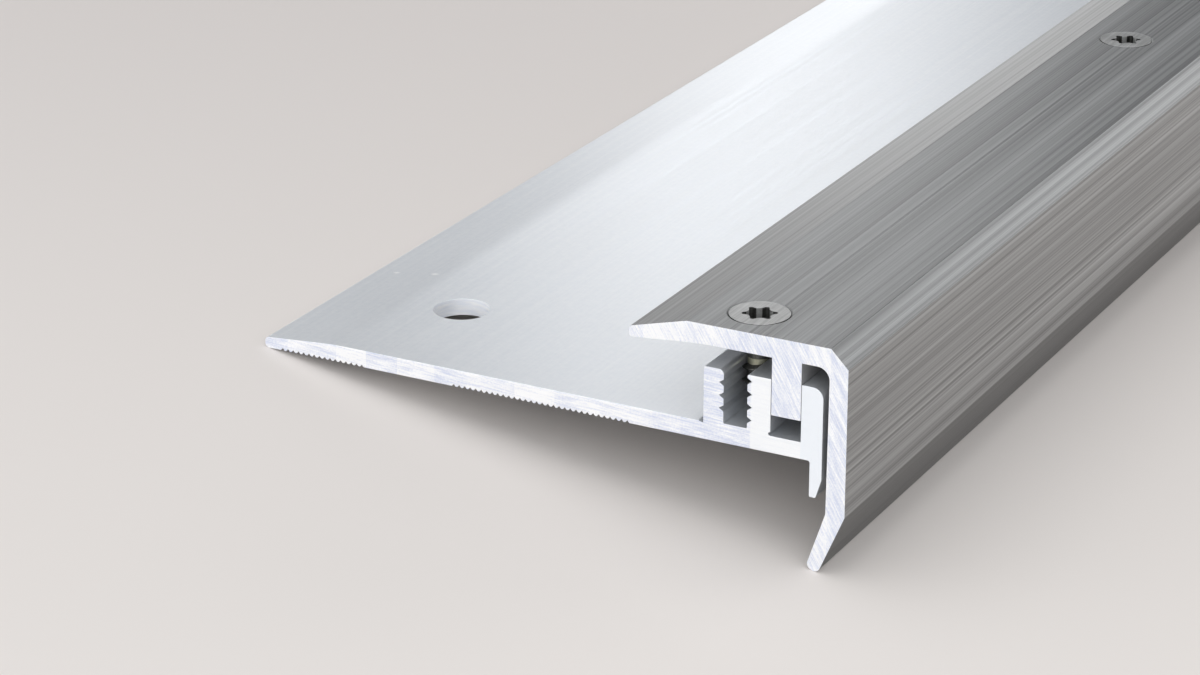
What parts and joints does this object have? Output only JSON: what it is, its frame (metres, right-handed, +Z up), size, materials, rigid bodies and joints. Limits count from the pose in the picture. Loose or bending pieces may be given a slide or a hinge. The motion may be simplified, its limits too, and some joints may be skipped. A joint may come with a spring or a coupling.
{
  "type": "stair nosing",
  "caption": "Aluminium stair nosing: perforated base plate with a notched screw channel, and a screwed-on cover whose nose wraps the stair's edge and ends in a turned-in lip.",
  "frame": {"origin": "middle of the footprint on the floor, with the nosing lying as it comes to rest on its lip and its plate's free edge", "axes": "+Y along the stock, +Z up from the floor, +X across the section towards the nose"},
  "size_m": [0.0714, 1, 0.0253],
  "materials": {
    "mill_aluminium": "mill finish, as extruded",
    "brushed_aluminium": "brushed along its length and anodised in a stainless steel tone",
    "screw_steel": "plain bright steel"
  },
  "bodies": {
    "root": {"base_profile": "mill_aluminium", "cover_profile": "brushed_aluminium", "countersunk_screw_01": "screw_steel", "countersunk_screw_02": "screw_steel", "countersunk_screw_03": "screw_steel", "countersunk_screw_04": "screw_steel", "countersunk_screw_05": "screw_steel", "countersunk_screw_06": "screw_steel", "countersunk_screw_07": "screw_steel", "countersunk_screw_08": "screw_steel", "countersunk_screw_09": "screw_steel", "countersunk_screw_10": "screw_steel"}
  },
  "joints": []
}
